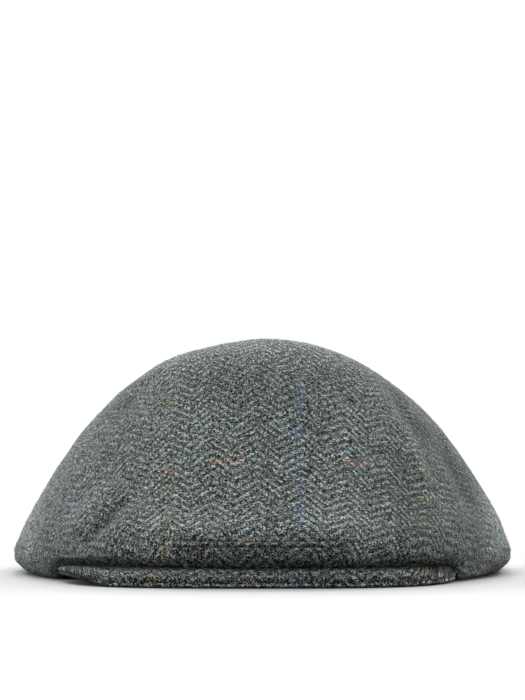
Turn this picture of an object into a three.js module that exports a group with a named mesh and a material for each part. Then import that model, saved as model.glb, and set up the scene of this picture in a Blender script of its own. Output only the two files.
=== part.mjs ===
import * as THREE from 'three';

// A flat cap of herringbone tweed, lying on a table by itself. Millimetres, +Z up, the peak towards -Y.
// Every cloth piece is a wall between one outer surface and the same surface moved inwards by the cloth.
// The outer surface is a function of two numbers: the heading round the cap (0 at the front, 90 degrees at
// the right side, 180 at the back) and the level, which counts the loops in the table below from the top of
// the crown (0) over the fold (8) to the edge of the head opening (11).

const CLOTH = 2.2;
const GAP = 0.3;

// Loops of the outer surface, top to rim. front, side and back give how far each loop reaches along -Y, X and
// +Y and how high it lies there. middle is the loop's centre along Y, square is the power of its superellipse
// and corner is the share by which it draws in where the peak ends. Under the fold the loops lie on the peak
// in front, whose corners are at cornerShare of the front height, and come down to the table behind it.
const LOOP_COLUMNS = ['frontY', 'frontZ', 'sideX', 'sideZ', 'backY', 'backZ', 'middle', 'square', 'corner',
  'cornerShare'];
const LOOPS = [
  [6, 109.4, 0, 109.4, 6, 109.4, 6, 2, 0, 0],
  [-15, 105.2, 24, 107, 28, 108, 6, 2, 0, 0],
  [-34, 95.4, 45.5, 99.4, 49.6, 103.4, 7, 2, 0, 0],
  [-51, 82, 63.5, 87.4, 70.2, 95.6, 9, 2.05, 0, 0],
  [-68.5, 66.6, 78.5, 73.4, 89.4, 84.5, 11, 2.1, 0, 0],
  [-87, 50.5, 91.3, 57.6, 105.4, 71, 13, 2.15, 0.01, 0],
  [-106, 35, 102.5, 41, 117.6, 57, 15, 2.2, 0.02, 0],
  [-122, 23.8, 111.8, 24.6, 126.4, 44, 16, 2.3, 0.035, 0],
  [-127.6, 16.6, 117.6, 8.8, 130.63, 31, 16, 2.4, 0.055, 0],
  [-126.6, 11.3, 115, 3, 130.2, 18, 16, 2.4, 0.058, 0.8],
  [-121.5, 9.2, 109, 0, 126.4, 6, 16, 2.4, 0.055, 0.74],
  [-86, 20.1, 98, 0, 119, 0, 16, 2.6, 0, 0.42],
].map((row) => Object.fromEntries(LOOP_COLUMNS.map((column, at) => [column, row[at]])));

const FOLD_LEVEL = 8;
const RIM_LEVEL = 11;
const CORNER_HEADING = 52;
const CORNER_SPREAD = 20;

// The crown lies on the peak up to the first heading, and on the table from the second one.
const ON_PEAK_LEFT = 45;
const LANDED_LEFT = 56;
const ON_PEAK_RIGHT = 41;
const LANDED_RIGHT = 48.5;

// Where the top panel ends: at the rim in front, at the side panel's seam from the peak's corner backwards.
const SEAM_LEVEL = 7.8;
const SEAM_START_HEADING = 50;
const SEAM_FULL_HEADING = 70;
const PANEL_START_STEP = 42;

// How far under the top panel's edge a side panel begins, in levels, at the corner and behind it, and the
// half angle between the two side panels at the back, in degrees.
const PANEL_DROP_AT_CORNER = 0.3;
const PANEL_DROP_BEHIND = 0.08;
const PANEL_DROP_FROM_HEADING = 55;
const PANEL_DROP_TO_HEADING = 75;
const BACK_SEAM_HALF_ANGLE = 0.15;

// Dents and folds of the crown's cloth: centre and half lengths in plan, turn in degrees, depth inwards.
const DENT_COLUMNS = ['x', 'y', 'long', 'wide', 'turn', 'depth'];
const DENTS = Object.entries({
  'right flank upper': [69, -28, 17, 8, -62, 2.0],
  'right flank ridge': [72, -62, 34, 7, -68, -1.4],
  'right flank lower': [90, -32, 20, 8, -70, 2.2],
  'left flank upper': [-63, -24, 12, 8, 62, 1.4],
  'left corner crease': [-73, -92, 15, 5, 24, 2.4],
  'left corner bulge': [-82, -78, 18, 8, 30, -1.6],
  'stitched valley': [0, -124, 44, 2.6, 0, 1.1],
}).map(([name, row]) => ({
  name,
  ...Object.fromEntries(DENT_COLUMNS.map((column, at) => [column, row[at]])),
}));

// The peak: a stiff crescent whose lip is a superellipse in plan.
const PEAK_MIDDLE_X = -2.5;
const PEAK_HALF_WIDTH = 91.5;
const PEAK_MIDDLE_Y = -40;
const PEAK_REACH = 91;
const PEAK_SQUARE = 3;
const PEAK_THICK = 5.2;
const PEAK_THICK_AT_TIP = 3.2;
const LIP_RISES_FROM_X = 66;
const LIP_RISE_LEFT = 3.2;
const LIP_RISE_RIGHT = 0.6;

// The peak's section outside the crown: the lip's edge as distances inwards from it and shares of the
// thickness, and the upper face as shares of the way to the crown, which it climbs steeply and then less.
const LIP_EDGE = [[1.6, 0], [0.4, 0.22], [0, 0.5], [0.4, 0.78], [1.6, 1]];
const UPPER_FACE_SHARES = [0.2, 0.5];
const UPPER_FACE_POWER = 2.4;

// Facets.
const HEADING_STEPS = 64;
const DOME_STEPS = 12;
const DOME_END_LEVEL = 7.3;
const FOLD_ROW_LEVELS = [8, 9, 10, 10.5, 11];
const PANEL_ROWS = 6;
const PEAK_ROW_LEVELS = [10, 10.5, 11];
const PEAK_LEFT_STEP = -8;
const PEAK_RIGHT_STEP = 7;
const LEVEL_STEP = 0.02;
const HEADING_STEP = 1;
const HALVING_LIMIT = 0.001;

const radians = (degrees) => degrees * Math.PI / 180;
const clamp01 = (value) => Math.min(1, Math.max(0, value));
const mix = (from, to, share) => from + (to - from) * share;
const clampTo = (value, limit) => Math.min(limit, Math.max(-limit, value));
const smooth = (share) => clamp01(share) ** 2 * (3 - 2 * clamp01(share));

// One point of a loop: a superellipse in plan, drawn in at the peak's corners, with its height blended
// between front, side and back by the square of how far forward or back the point lies.
function loopPoint(loop, heading) {
  const forward = Math.cos(radians(heading));
  const aside = Math.sin(radians(heading));
  const reachY = forward > 0 ? loop.middle - loop.frontY : loop.backY - loop.middle;
  if (loop.sideX === 0) {
    return new THREE.Vector3(0, loop.middle, loop.frontZ);
  }
  const power = loop.square;
  const offCorner = (Math.abs(heading) - CORNER_HEADING) / CORNER_SPREAD;
  const whole = (Math.abs(forward / reachY) ** power + Math.abs(aside / loop.sideX) ** power) ** (-1 / power);
  const reach = whole * (1 - loop.corner * Math.exp(-offCorner * offCorner));
  const along = (forward * reach / reachY) ** 2;
  let height = mix(loop.sideZ, forward > 0 ? loop.frontZ : loop.backZ, along);
  if (loop.cornerShare && forward > 0) {
    const landed = heading < 0 ? LANDED_LEFT : LANDED_RIGHT;
    const lying = heading < 0 ? ON_PEAK_LEFT : ON_PEAK_RIGHT;
    const onPeak = smooth((landed - Math.abs(heading)) / (landed - lying));
    const peakHeight = loop.frontZ * mix(loop.cornerShare, 1, along);
    height = mix(loop.sideZ, peakHeight, onPeak);
  }
  return new THREE.Vector3(aside * reach, loop.middle - forward * reach, height);
}

// The undented surface: a Catmull-Rom curve down the loops at one heading, never below the table.
function plainPoint(heading, level) {
  const last = LOOPS.length - 1;
  const low = Math.min(Math.floor(level), last - 1);
  const share = level - low;
  const points = [-1, 0, 1, 2].map((step) => {
    const index = Math.min(Math.max(low + step, 0), last);
    return loopPoint(LOOPS[index], heading);
  });
  if (low === 0) {
    points[0].copy(loopPoint(LOOPS[1], heading + 180));
  }
  const [before, from, to, after] = points;
  const blend = (a, b, c, d) => 0.5 * (2 * b + (c - a) * share + (2 * a - 5 * b + 4 * c - d) * share ** 2
    + (3 * b - a - 3 * c + d) * share ** 3);
  return new THREE.Vector3(
    blend(before.x, from.x, to.x, after.x),
    blend(before.y, from.y, to.y, after.y),
    Math.max(0, blend(before.z, from.z, to.z, after.z)),
  );
}

// How deep the dents press in at a place in plan: a sum of long bell shapes.
function dentDepth(x, y) {
  let depth = 0;
  for (const dent of DENTS) {
    const turn = radians(dent.turn);
    const along = (x - dent.x) * Math.cos(turn) + (y - dent.y) * Math.sin(turn);
    const across = (y - dent.y) * Math.cos(turn) - (x - dent.x) * Math.sin(turn);
    depth += dent.depth * Math.exp(-((along / dent.long) ** 2) - (across / dent.wide) ** 2);
  }
  return depth;
}

// The outward normal of the undented surface, from two short steps along it.
function plainNormal(heading, level) {
  const at = Math.min(Math.max(level, LEVEL_STEP), RIM_LEVEL - LEVEL_STEP);
  const down = plainPoint(heading, at + LEVEL_STEP).sub(plainPoint(heading, at - LEVEL_STEP));
  const round = plainPoint(heading + HEADING_STEP, at).sub(plainPoint(heading - HEADING_STEP, at));
  return new THREE.Vector3().crossVectors(down, round).normalize();
}

// A point of the cloth: 0 depth is the outer face and CLOTH is the inner one. Dents fade out at the fold.
function clothPoint(heading, level, depth) {
  const point = plainPoint(heading, level);
  const dented = dentDepth(point.x, point.y) * smooth(FOLD_LEVEL - level);
  const inwards = plainNormal(heading, level).multiplyScalar(-(depth + dented));
  return point.add(inwards);
}

// The headings at which the crown and the side panels have their columns of facets.
function stationHeading(step) {
  return -180 + 360 * step / HEADING_STEPS;
}

// The level at which the top panel ends at a heading.
function topPanelEnd(heading) {
  const behind = (Math.abs(heading) - SEAM_START_HEADING) / (SEAM_FULL_HEADING - SEAM_START_HEADING);
  return mix(RIM_LEVEL, SEAM_LEVEL, smooth(behind));
}

function meshFrom(name, vertices, faces, look) {
  const geometry = new THREE.BufferGeometry();
  const places = vertices.flatMap((vertex) => [vertex.x, vertex.y, vertex.z]);
  geometry.setAttribute('position', new THREE.Float32BufferAttribute(places, 3));
  geometry.setIndex(faces.flat());
  geometry.computeVertexNormals();
  const mesh = new THREE.Mesh(geometry, new THREE.MeshStandardMaterial(look));
  mesh.name = name;
  return mesh;
}

// Two triangles for a cell of a grid whose corners are given anticlockwise as seen from outside.
const cell = (a, b, c, d) => [[a, b, c], [a, c, d]];

// The top panel: two domes with a common pole line, joined by a strip along their lower edge.
function crownTop() {
  const rows = DOME_STEPS + FOLD_ROW_LEVELS.length;
  const foldShares = FOLD_ROW_LEVELS.map((level) => (level - DOME_END_LEVEL) / (RIM_LEVEL - DOME_END_LEVEL));
  const levelAt = (row, heading) => (row <= DOME_STEPS
    ? DOME_END_LEVEL * row / DOME_STEPS
    : mix(DOME_END_LEVEL, topPanelEnd(heading), foldShares[row - DOME_STEPS - 1]));
  const vertices = [];
  for (const depth of [0, CLOTH]) {
    vertices.push(clothPoint(0, 0, depth));
    for (let row = 1; row <= rows; row += 1) {
      for (let step = 0; step < HEADING_STEPS; step += 1) {
        vertices.push(clothPoint(stationHeading(step), levelAt(row, stationHeading(step)), depth));
      }
    }
  }
  const skin = 1 + rows * HEADING_STEPS;
  const index = (side, row, step) => side * skin + (row === 0 ? 0 : 1 + (row - 1) * HEADING_STEPS
    + (step % HEADING_STEPS));
  const faces = [];
  for (let step = 0; step < HEADING_STEPS; step += 1) {
    faces.push([index(0, 0, 0), index(0, 1, step), index(0, 1, step + 1)]);
    faces.push([index(1, 0, 0), index(1, 1, step + 1), index(1, 1, step)]);
    for (let row = 1; row < rows; row += 1) {
      faces.push(...cell(index(0, row, step), index(0, row + 1, step), index(0, row + 1, step + 1),
        index(0, row, step + 1)));
      faces.push(...cell(index(1, row, step + 1), index(1, row + 1, step + 1), index(1, row + 1, step),
        index(1, row, step)));
    }
    faces.push(...cell(index(0, rows, step), index(1, rows, step), index(1, rows, step + 1),
      index(0, rows, step + 1)));
  }
  return meshFrom('crown_top', vertices, faces, { color: 0x5d6462, roughness: 0.95, metalness: 0 });
}

// A closed body between an outer and an inner grid of points of the same size.
function shellBetween(name, outer, inner, look) {
  const rows = outer.length;
  const columns = outer[0].length;
  const vertices = [...outer.flat(), ...inner.flat()];
  const index = (side, row, column) => side * rows * columns + row * columns + column;
  const faces = [];
  for (let row = 0; row + 1 < rows; row += 1) {
    for (let column = 0; column + 1 < columns; column += 1) {
      for (const side of [0, 1]) {
        const corners = [index(side, row, column), index(side, row + 1, column),
          index(side, row + 1, column + 1), index(side, row, column + 1)];
        faces.push(...cell(...(side === 0 ? corners : corners.reverse())));
      }
    }
    faces.push(...cell(index(0, row, 0), index(1, row, 0), index(1, row + 1, 0), index(0, row + 1, 0)));
    faces.push(...cell(index(0, row + 1, columns - 1), index(1, row + 1, columns - 1),
      index(1, row, columns - 1), index(0, row, columns - 1)));
  }
  for (let column = 0; column + 1 < columns; column += 1) {
    faces.push(...cell(index(0, 0, column + 1), index(1, 0, column + 1), index(1, 0, column),
      index(0, 0, column)));
    faces.push(...cell(index(0, rows - 1, column), index(1, rows - 1, column),
      index(1, rows - 1, column + 1), index(0, rows - 1, column + 1)));
  }
  return meshFrom(name, vertices, faces, look);
}

// How far under the top panel's edge a side panel begins at a heading, in levels.
function panelDrop(heading) {
  const span = PANEL_DROP_TO_HEADING - PANEL_DROP_FROM_HEADING;
  const behind = (Math.abs(heading) - PANEL_DROP_FROM_HEADING) / span;
  return mix(PANEL_DROP_AT_CORNER, PANEL_DROP_BEHIND, smooth(behind));
}

// A side panel: from just under the top panel's edge down and in to the rim, whose hem is flat on the table.
function sidePanel(name, side) {
  const headings = [];
  for (let step = 0; step <= HEADING_STEPS; step += 1) {
    const heading = stationHeading(step);
    if (heading * side >= stationHeading(PANEL_START_STEP)) {
      headings.push(clampTo(heading, 180 - BACK_SEAM_HALF_ANGLE));
    }
  }
  const outer = [];
  const inner = [];
  for (let row = 0; row <= PANEL_ROWS; row += 1) {
    outer.push([]);
    inner.push([]);
    for (const heading of headings) {
      const top = topPanelEnd(heading) + panelDrop(heading);
      const level = mix(top, RIM_LEVEL, row / PANEL_ROWS);
      outer[row].push(clothPoint(heading, level, 0));
      inner[row].push(clothPoint(heading, level, CLOTH));
    }
  }
  return shellBetween(name, outer, inner, { color: 0x596060, roughness: 0.95, metalness: 0 });
}

// Where the lip's outline in plan crosses the line at a heading from the crown's middle, found by halving.
function lipPoint(heading) {
  const { middle } = LOOPS[RIM_LEVEL];
  const toward = new THREE.Vector2(Math.sin(radians(heading)), -Math.cos(radians(heading)));
  let near = PEAK_HALF_WIDTH / 2;
  let far = PEAK_HALF_WIDTH * 2;
  while (far - near > HALVING_LIMIT) {
    const reach = (near + far) / 2;
    const x = Math.abs(toward.x * reach - PEAK_MIDDLE_X) / PEAK_HALF_WIDTH;
    const y = Math.abs(middle + toward.y * reach - PEAK_MIDDLE_Y) / PEAK_REACH;
    const inside = x ** PEAK_SQUARE + y ** PEAK_SQUARE < 1;
    near = inside ? reach : near;
    far = inside ? far : reach;
  }
  return new THREE.Vector2(toward.x * near, middle + toward.y * near);
}

// The peak: its section runs inwards under the crown's flap, back out underneath and round the lip.
function peak() {
  const sections = [];
  for (let step = PEAK_LEFT_STEP; step <= PEAK_RIGHT_STEP; step += 1) {
    const share = step / PEAK_LEFT_STEP;
    const heading = stationHeading(step + HEADING_STEPS / 2);
    const lip = lipPoint(heading);
    const thick = mix(PEAK_THICK, PEAK_THICK_AT_TIP, share ** 4);
    const outwards = (Math.abs(lip.x) - LIP_RISES_FROM_X) / (PEAK_HALF_WIDTH - LIP_RISES_FROM_X);
    const rise = (lip.x < 0 ? LIP_RISE_LEFT : LIP_RISE_RIGHT) * smooth(outwards);
    const top = [];
    const bottom = [];
    for (const level of PEAK_ROW_LEVELS) {
      const above = clothPoint(heading, level, 0);
      top.push(new THREE.Vector3(above.x, above.y, above.z - GAP));
      bottom.push(new THREE.Vector3(above.x, above.y, Math.max(above.z - GAP - thick, rise)));
    }
    const groove = top[0];
    const inwards = new THREE.Vector2(groove.x - lip.x, groove.y - lip.y);
    const reach = inwards.length();
    inwards.normalize();
    const inset = (distance, height) => new THREE.Vector3(lip.x + inwards.x * distance,
      lip.y + inwards.y * distance, height);
    const round = LIP_EDGE.map(([distance, tall]) => inset(distance, rise + thick * tall));
    const [lipDepth] = LIP_EDGE[LIP_EDGE.length - 1];
    const upper = UPPER_FACE_SHARES.map((part) => inset(mix(lipDepth, reach, part),
      mix(rise + thick, groove.z, 1 - (1 - part) ** UPPER_FACE_POWER)));
    sections.push([...top, ...bottom.reverse(), ...round, ...upper]);
  }
  const count = sections[0].length;
  const vertices = sections.flat();
  const faces = [];
  const steps = sections.length - 1;
  for (let step = 0; step < steps; step += 1) {
    for (let at = 0; at < count; at += 1) {
      const next = (at + 1) % count;
      faces.push(...cell(step * count + at, (step + 1) * count + at, (step + 1) * count + next,
        step * count + next));
    }
  }
  for (let at = 1; at + 1 < count; at += 1) {
    faces.push([0, at, at + 1]);
    const last = steps * count;
    faces.push([last, last + at + 1, last + at]);
  }
  return meshFrom('peak', vertices, faces, { color: 0x565c5b, roughness: 0.95, metalness: 0 });
}

const cap = new THREE.Group();
cap.add(crownTop(), sidePanel('side_panel_left', -1), sidePanel('side_panel_right', 1), peak());

export default cap;
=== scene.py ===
"""A flat cap of herringbone tweed, lying on a pale table, seen from the front."""
import bpy
import math
import mathutils
import numpy as np
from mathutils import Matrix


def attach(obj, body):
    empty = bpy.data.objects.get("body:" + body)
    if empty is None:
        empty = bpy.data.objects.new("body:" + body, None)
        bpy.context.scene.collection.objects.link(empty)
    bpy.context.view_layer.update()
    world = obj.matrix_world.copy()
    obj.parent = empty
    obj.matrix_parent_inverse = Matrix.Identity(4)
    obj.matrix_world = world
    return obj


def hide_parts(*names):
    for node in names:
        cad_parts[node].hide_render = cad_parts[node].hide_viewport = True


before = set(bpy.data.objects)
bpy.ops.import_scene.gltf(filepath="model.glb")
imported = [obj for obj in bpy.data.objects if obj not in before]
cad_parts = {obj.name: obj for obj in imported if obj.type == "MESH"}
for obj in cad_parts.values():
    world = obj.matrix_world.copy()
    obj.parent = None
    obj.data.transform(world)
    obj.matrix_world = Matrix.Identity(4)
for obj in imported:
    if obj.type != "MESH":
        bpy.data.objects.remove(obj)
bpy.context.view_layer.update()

# A millimetre in metres. Then, in millimetres, the cloth with its turned edges and the gap under the crown's
# flap.
MM = 0.001
CLOTH = 2.2
GAP = 0.3

# Loops of the outer surface in millimetres, from the top of the crown over the fold to the rim. front, side
# and back give how far each loop reaches along -Y, X and +Y and how high it lies there, middle is its centre
# along Y, square the power of its superellipse, corner the share by which it draws in where the peak ends,
# and share the part of the front height that it still has at the peak's corners (0 for the dome's loops).
LOOP_COLUMNS = (
    "front_y", "front_z", "side_x", "side_z", "back_y", "back_z", "middle", "square", "corner", "share",
)
LOOPS = (
    (6, 109.4, 0, 109.4, 6, 109.4, 6, 2, 0, 0),
    (-15, 105.2, 24, 107, 28, 108, 6, 2, 0, 0),
    (-34, 95.4, 45.5, 99.4, 49.6, 103.4, 7, 2, 0, 0),
    (-51, 82, 63.5, 87.4, 70.2, 95.6, 9, 2.05, 0, 0),
    (-68.5, 66.6, 78.5, 73.4, 89.4, 84.5, 11, 2.1, 0, 0),
    (-87, 50.5, 91.3, 57.6, 105.4, 71, 13, 2.15, 0.01, 0),
    (-106, 35, 102.5, 41, 117.6, 57, 15, 2.2, 0.02, 0),
    (-122, 23.8, 111.8, 24.6, 126.4, 44, 16, 2.3, 0.035, 0),
    (-127.6, 16.6, 117.6, 8.8, 130.63, 31, 16, 2.4, 0.055, 0),
    (-126.6, 11.3, 115, 3, 130.2, 18, 16, 2.4, 0.058, 0.8),
    (-121.5, 9.2, 109, 0, 126.4, 6, 16, 2.4, 0.055, 0.74),
    (-86, 20.1, 98, 0, 119, 0, 16, 2.6, 0, 0.42),
)

# Levels of the fold, the groove and the rim. Headings, in degrees from the front: where the loops draw in and
# how widely, on each side up to where the crown lies on the peak and from where it lies on the table, where
# the side panel's seam leaves the rim and reaches its own level, and where the panel's mesh starts.
FOLD_LEVEL = 8
GROOVE_LEVEL = 10
RIM_LEVEL = 11
CORNER_HEADING = 52
CORNER_SPREAD = 20
ON_PEAK_LEFT = 45
LANDED_LEFT = 56
ON_PEAK_RIGHT = 41
LANDED_RIGHT = 48.5
SEAM_LEVEL = 7.8
SEAM_START_HEADING = 50
SEAM_FULL_HEADING = 70
PANEL_START_HEADING = 56.25

# Dents (positive depth) and soft ridges (negative) of the crown: centre, half lengths, turn and depth.
DENT_COLUMNS = ("x", "y", "long", "wide", "turn", "depth")
DENTS = {
    "right flank upper": (69, -28, 17, 8, -62, 2.0),
    "right flank ridge": (72, -62, 34, 7, -68, -1.4),
    "right flank lower": (90, -32, 20, 8, -70, 2.2),
    "left flank upper": (-63, -24, 12, 8, 62, 1.4),
    "left corner crease": (-73, -92, 15, 5, 24, 2.4),
    "left corner bulge": (-82, -78, 18, 8, 30, -1.6),
    "stitched valley": (0, -124, 44, 2.6, 0, 1.1),
}

# The peak, in millimetres and headings. Its lip is a superellipse in plan, which rises at both ends. The edge
# has two rolls of cloth, and the seam between them lies at a share of the thickness.
PEAK_MIDDLE_X = -2.5
PEAK_HALF_WIDTH = 91.5
PEAK_MIDDLE_Y = -40
PEAK_REACH = 91
PEAK_SQUARE = 3
PEAK_LEFT_HEADING = -45
PEAK_RIGHT_HEADING = 43.8
PEAK_THICK = 5.2
PEAK_THICK_AT_TIP = 3.2
LIP_RISES_FROM_X = 66
LIP_RISE_LEFT = 3.2
LIP_RISE_RIGHT = 0.6
LIP_LOBE = 1.7
LIP_SEAM_IN = 0.6
LIP_SEAM_SHARE = 0.36
UPPER_FACE_POWER = 2.4

# The peak's mesh: columns, and rows under the crown's flap, below and on the upper face. Then both rolls at
# the lip, each by its first and last angle, its rows and how much of the lobe it fills, and how many halvings
# find the lip.
PEAK_COLUMNS = 320
FLAP_ROWS = 14
UNDER_ROWS = 24
UPPER_ROWS = 30
LOWER_ROLL = (-90, 35, 15, 0.92)
UPPER_ROLL = (-32, 90, 17, 1)
HALVINGS = 40

# Light and shade painted into the cloth's colour, each the share by which it is darker, or paler where
# light is painted: painted shade in the groove, painted light on the lower roll of the lip, painted shade
# in the dents, along the rows of stitches and below them and on both flanks, painted light on the ends of
# the cap, painted shade on its top, in the hollow and on the panel at the left corner, painted light on the
# flap at the right corner, painted shade on the turn of the fold and painted light on the flap below it.
GROOVE_PAINTED_SHADE = 0.75
LIP_PAINTED_LIGHT = 0.55
DENT_SHADE = 0.17
STITCH_SHADE = 0.95
BELOW_STITCHES_SHADE = 0.38
FLANK_SHADE_LEFT = 0.22
FLANK_SHADE_RIGHT = 0.30
END_LIGHT = 0.30
TOP_SHADE = 0.20
HOLLOW_SHADE = 0.85
CORNER_SHADE = 0.55
TUCK_LIGHT = 1.0
TURN_SHADE = 0.10
UNDER_FOLD_GLOW = 0.40

# Where each patch of painted light and shade starts and is full: levels, degrees of heading or millimetres.
ZONES = {
    "groove": (8.6, 9.4),
    "groove, left end": (56, 47),
    "groove, right end": (47, 38),
    "flank": (42, 67),
    "flank, outer end": (108, 96),
    "end of the cap": (99, 111),
    "right corner, from the front": (42, 46),
    "right corner, from behind": (64, 56),
    "right corner, downwards": (8.3, 9.0),
    "top": (70, 95),
    "turn": (6.6, 7.4),
    "turn, both ends": (64, 52),
    "below the fold": (8.0, 8.4),
    "below_stitches": (0.0, 1.5),
    "peak's groove": (-2.4, -0.2),
    "lower roll, downwards": (0.2, -0.6),
    "lower roll, outwards": (4.0, 2.5),
    "hollow, outwards": (66, 78),
    "hollow, downwards": (1.4, 0.2),
    "left corner": (70, 59),
    "left corner, downwards": (0.0, 0.625),
}

# The two rows of stitches across the front: heights, then the depth and half width of each one's groove, then
# each thread's radius and where it starts and ends along X, and the length of a stitch and of a gap.
STITCH_ROWS = (17.9, 20.6)
STITCH_GROOVES = ((0.95, 0.60), (0.60, 0.50))
STITCH_THREADS = ((0.34, -39.5, 38.5), (0.30, -40.5, 27.0))
STITCH_LENGTH = 2.6
STITCH_GAP = 0.9

# The sewn part of the crown: its middle and half width along X, and the Y that it ends at.
SEWN_MIDDLE_X = -1.0
SEWN_HALF_WIDTH = 41
SEWN_END_Y = -90

# The weave: a reversing 2/2 twill of about 20 yarns to the inch. One of its points lies on the line u = -2.2,
# and beside the reversing it leans slowly to one side.
END_PITCH = 1.275
PICK_PITCH = 1.25
ENDS_PER_STRIPE = 8
POINT_U = -2.2
TWILL_LEAN = 0.18


def smooth(share):
    """3s^2 - 2s^3 of s held between 0 and 1."""
    share = np.clip(share, 0.0, 1.0)
    return share * share * (3.0 - 2.0 * share)


def fade_in(value, start, full):
    """0 before start and 1 past full, which may be the lower of the two, with a smooth step between."""
    return smooth((value - start) / (full - start))


def loop_points(heading):
    """Each loop at each heading: a superellipse in plan, drawn in at the peak's corners, and a height
    blended between front, side and back by the square of how far forward or back the point lies."""
    rad = np.radians(heading)
    forward, aside = np.cos(rad), np.sin(rad)
    turned = (heading + 180) % 360 - 180
    off_corner = (np.abs(turned) - CORNER_HEADING) / CORNER_SPREAD
    landed = np.where(turned < 0, LANDED_LEFT, LANDED_RIGHT)
    lying = np.where(turned < 0, ON_PEAK_LEFT, ON_PEAK_RIGHT)
    on_peak = smooth((landed - np.abs(turned)) / (landed - lying))
    points = []
    for row in LOOPS:
        loop = dict(zip(LOOP_COLUMNS, row))
        if loop["side_x"] == 0:
            points.append(np.stack([0 * rad, 0 * rad + loop["middle"], 0 * rad + loop["front_z"]], -1))
            continue
        reach_y = np.where(forward > 0, loop["middle"] - loop["front_y"], loop["back_y"] - loop["middle"])
        power = loop["square"]
        whole = (np.abs(forward / reach_y) ** power + np.abs(aside / loop["side_x"]) ** power) ** (-1 / power)
        reach = whole * (1 - loop["corner"] * np.exp(-off_corner ** 2))
        along = (forward * reach / reach_y) ** 2
        end_z = np.where(forward > 0, loop["front_z"], loop["back_z"])
        height = loop["side_z"] + (end_z - loop["side_z"]) * along
        if loop["share"]:
            peak_height = loop["front_z"] * (loop["share"] + (1 - loop["share"]) * along)
            ahead = loop["side_z"] + (peak_height - loop["side_z"]) * on_peak
            height = np.where(forward > 0, ahead, height)
        points.append(np.stack([aside * reach, loop["middle"] - forward * reach, height], -1))
    return np.stack(points)


def plain_surface(heading, level):
    """The undented outer surface: a Catmull-Rom curve down the loops at each heading, kept off the table.
    heading has shape (n,), level (m, n); the result has shape (m, n, 3)."""
    loops = loop_points(heading)
    before_first = loop_points(heading + 180)[1:2]
    rows = np.concatenate([before_first, loops, loops[-1:]])
    low = np.clip(np.floor(level).astype(int), 0, len(LOOPS) - 2)
    share = (level - low)[..., None]
    column = np.arange(len(heading))[None, :]
    p0, p1, p2, p3 = (rows[low + step, column] for step in range(4))
    point = 0.5 * (2 * p1 + (p2 - p0) * share + (2 * p0 - 5 * p1 + 4 * p2 - p3) * share ** 2
                   + (3 * p1 - p0 - 3 * p2 + p3) * share ** 3)
    point[..., 2] = np.maximum(point[..., 2], 0)
    return point


def plain_normal(heading, level):
    """Outward normal: the cross product of two short steps, down the loops and round the cap."""
    step = 0.02
    at = np.clip(level, step, RIM_LEVEL - step)
    down = plain_surface(heading, at + step) - plain_surface(heading, at - step)
    around = plain_surface(heading + 0.5, at) - plain_surface(heading - 0.5, at)
    normal = np.cross(down, around)
    return normal / np.maximum(np.linalg.norm(normal, axis=-1, keepdims=True), 1e-9)


def dent_depth(x, y):
    """Sum of long bell shapes in plan, each turned by its own angle."""
    depth = np.zeros_like(x)
    for row in DENTS.values():
        dent = dict(zip(DENT_COLUMNS, row))
        turn = math.radians(dent["turn"])
        along = (x - dent["x"]) * math.cos(turn) + (y - dent["y"]) * math.sin(turn)
        across = (y - dent["y"]) * math.cos(turn) - (x - dent["x"]) * math.sin(turn)
        depth += dent["depth"] * np.exp(-(along / dent["long"]) ** 2 - (across / dent["wide"]) ** 2)
    return depth


def soft_waves(point):
    """Slow unevenness of soft cloth: two products of sine waves, 60 to 110 mm long and about a third of a
    millimetre high."""
    x, y, z = point[..., 0], point[..., 1], point[..., 2]
    wave = 0.36 * np.sin(x / 13.0 + 1.7 * np.sin(y / 31.0)) * np.sin(y / 17.0 + 0.8)
    wave += 0.30 * np.sin((x + 1.3 * z) / 9.5 + 2.1) * np.sin((y - z) / 12.5)
    return wave


def cloth_surface(heading, level, depth=0.0, sunk=0.0):
    """The cloth's face: the plain surface moved inwards by depth, dents, waves and any sunk seam."""
    point = plain_surface(heading, level)
    off_fold = smooth(FOLD_LEVEL - level)
    inward = depth + sunk + dent_depth(point[..., 0], point[..., 1]) * off_fold - soft_waves(point) * off_fold
    return point - plain_normal(heading, level) * inward[..., None]


def top_panel_end(heading):
    """The level where the top panel ends: the rim in front, the seam from the peak's corners backwards."""
    behind = (np.abs(heading) - SEAM_START_HEADING) / (SEAM_FULL_HEADING - SEAM_START_HEADING)
    return RIM_LEVEL + (SEAM_LEVEL - RIM_LEVEL) * smooth(behind)


def arc_lengths(points):
    """Running length down axis 0 of a grid of points."""
    steps = np.linalg.norm(np.diff(points, axis=0), axis=-1)
    return np.concatenate([np.zeros((1,) + steps.shape[1:]), np.cumsum(steps, 0)])


# The crown's centre line from front fold to back fold: height and running length over Y. Then how much longer
# the cloth is across than its chord, and how the weft lags towards the flanks and leans.
CENTRE_LEVELS = np.linspace(0, FOLD_LEVEL, 400)
CENTRE_FRONT = plain_surface(np.array([0.0]), CENTRE_LEVELS[:, None])[:, 0]
CENTRE_BACK = plain_surface(np.array([180.0]), CENTRE_LEVELS[:, None])[:, 0]
CENTRE_LINE = np.concatenate([CENTRE_FRONT[::-1], CENTRE_BACK[1:]])
CENTRE_RUN = arc_lengths(CENTRE_LINE[:, None])[:, 0]
SECTION_BEND = 1.4
WEFT_LAG = 5.5 / 72.0 ** 2
WEFT_LEAN = 0.055


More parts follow.
